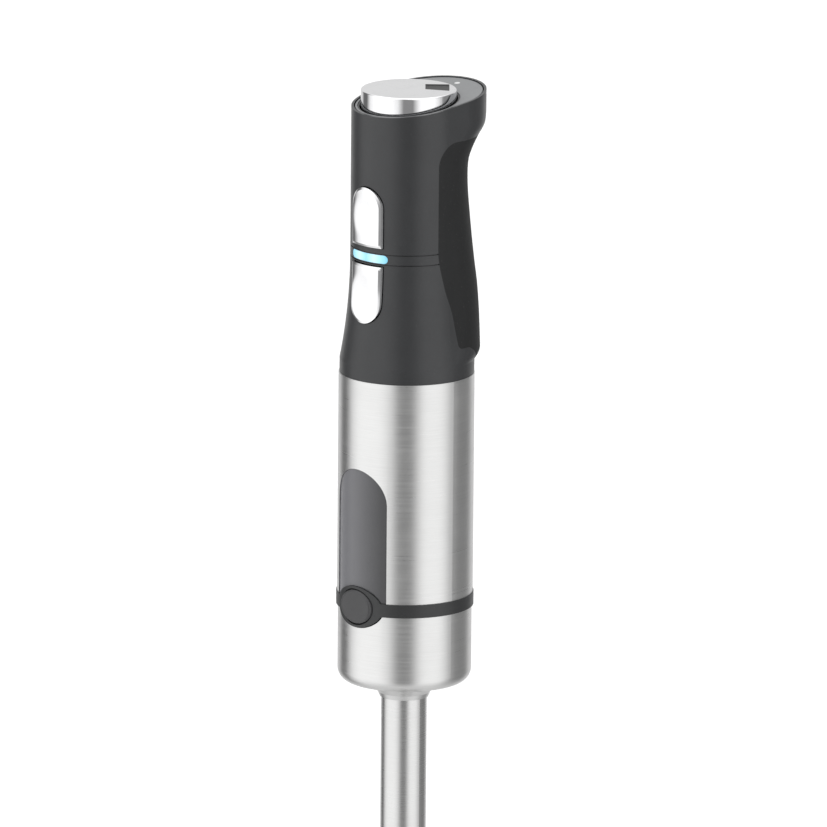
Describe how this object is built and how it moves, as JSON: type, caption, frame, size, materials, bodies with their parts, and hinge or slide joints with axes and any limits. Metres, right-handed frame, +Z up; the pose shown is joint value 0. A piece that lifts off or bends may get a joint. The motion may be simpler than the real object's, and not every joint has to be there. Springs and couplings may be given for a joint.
{
  "type": "immersion blender",
  "caption": "Hand-held immersion blender: steel motor body under a flared plastic handle with speed dial, two triggers and light strip, and a lift-off steel foot with belled blade guard.",
  "frame": {"origin": "on the shaft's axis at the rim of the blade guard", "axes": "+Z up along the shaft to the speed dial, -Y the side with the triggers, +Y the palm side, +X to the right seen from the front"},
  "size_m": [0.066, 0.0764, 0.4199],
  "materials": {
    "housing_grey": "satin injection-moulded shell, dark grey",
    "grip_rubber": "soft-touch, near black",
    "plate_grey": "satin mid grey",
    "band_black": "satin black",
    "button_grey": "satin, dark grey",
    "plaque_gloss": "gloss, dark grey",
    "mark_pale": "printed pale grey",
    "light_glow": "translucent light strip, pale blue",
    "pointer_dark": "recess floor, dark",
    "chrome": "polished chrome plating",
    "steel_brushed": "brushed around its axis",
    "steel_satin": "satin drawn",
    "steel_blade": "ground, sharpened",
    "steel_plain": "plain turned steel",
    "aluminium": "plain sheet",
    "inner_nylon": "natural nylon",
    "board_green": "circuit board lacquer",
    "iron": "stacked laminations",
    "copper": "enamelled copper",
    "brass": "turned brass and bronze",
    "carbon": "moulded black",
    "capacitor_yellow": "potted case"
  },
  "bodies": {
    "motor_unit": {"front_housing": "housing_grey", "rear_grip": "grip_rubber", "top_plate": "plate_grey", "index_mark": "mark_pale", "dial_well": "band_black", "cord_gland": "grip_rubber", "light_lens": "light_glow", "light_board": "board_green", "light_chips": "mark_pale", "handle_screws": "steel_plain", "motor_sleeve": "steel_brushed", "lower_housing": "band_black", "plaque": "plaque_gloss", "lower_bracket": "inner_nylon", "upper_bracket": "inner_nylon", "motor_bearings": "steel_plain", "motor_mounts": "grip_rubber", "motor_screws": "steel_plain", "stator_core": "iron", "field_coils": "copper", "brush_holders": "brass", "carbon_brushes": "carbon", "brush_springs": "steel_plain", "circuit_board": "board_green", "switch_carrier": "inner_nylon", "trigger_switch": "carbon", "turbo_switch": "carbon", "potentiometer": "steel_plain", "capacitor": "capacitor_yellow", "suppression_choke": "copper", "triac": "carbon", "heatsink": "aluminium", "trigger_spring": "steel_plain", "turbo_spring": "steel_plain", "release_spring": "steel_plain"},
    "dial": {"speed_dial": "chrome", "dial_pointer": "pointer_dark", "dial_shaft": "steel_plain"},
    "trigger": {"speed_trigger": "chrome"},
    "turbo": {"turbo_button": "chrome"},
    "release": {"release_button": "button_grey", "latch_ring": "inner_nylon"},
    "rotor": {"motor_shaft": "steel_plain", "armature_core": "iron", "armature_windings": "copper", "commutator": "copper", "cooling_fan": "inner_nylon", "drive_coupling": "carbon"},
    "foot": {"foot_bell": "steel_brushed", "foot_coupler": "band_black", "neck_collar": "steel_satin", "shaft_tube": "steel_satin", "blade_guard": "steel_satin", "foot_bushes": "brass", "shaft_seal": "grip_rubber"},
    "blade_shaft": {"drive_shaft": "steel_plain", "driven_coupling": "carbon", "blade": "steel_blade", "blade_nut": "steel_blade"}
  },
  "joints": [
    {"name": "dial_turn", "type": "hinge", "parent": "motor_unit", "child": "dial", "pos_m": [0, 0, 0.4139], "axis": [0, 0, 1], "range_deg": [-90, 180]},
    {"name": "trigger_press", "type": "slide", "parent": "motor_unit", "child": "trigger", "axis": [0, 1, 0], "range_m": [0, 0.002], "stiffness_N_per_m": 900, "springref_m": -0.002, "deforming": ["trigger_spring"]},
    {"name": "turbo_press", "type": "slide", "parent": "motor_unit", "child": "turbo", "axis": [0, 1, 0], "range_m": [0, 0.002], "stiffness_N_per_m": 900, "springref_m": -0.002, "deforming": ["turbo_spring"]},
    {"name": "release_press", "type": "slide", "parent": "motor_unit", "child": "release", "axis": [0, 1, 0], "range_m": [0, 0.0025], "stiffness_N_per_m": 1200, "springref_m": -0.002, "deforming": ["release_spring"]},
    {"name": "rotor_spin", "type": "hinge", "parent": "motor_unit", "child": "rotor", "pos_m": [0, 0, 0.234], "axis": [0, 0, 1], "continuous": true},
    {"name": "foot_removal", "type": "slide", "parent": "motor_unit", "child": "foot", "axis": [0, 0, -1], "range_m": [0, 0.045]},
    {"name": "blade_spin", "type": "hinge", "parent": "foot", "child": "blade_shaft", "pos_m": [0, 0, 0.014], "axis": [0, 0, 1], "continuous": true}
  ],
  "couplings": [
    {"joint": "blade_spin", "follows": "rotor_spin", "ratio": 1}
  ]
}
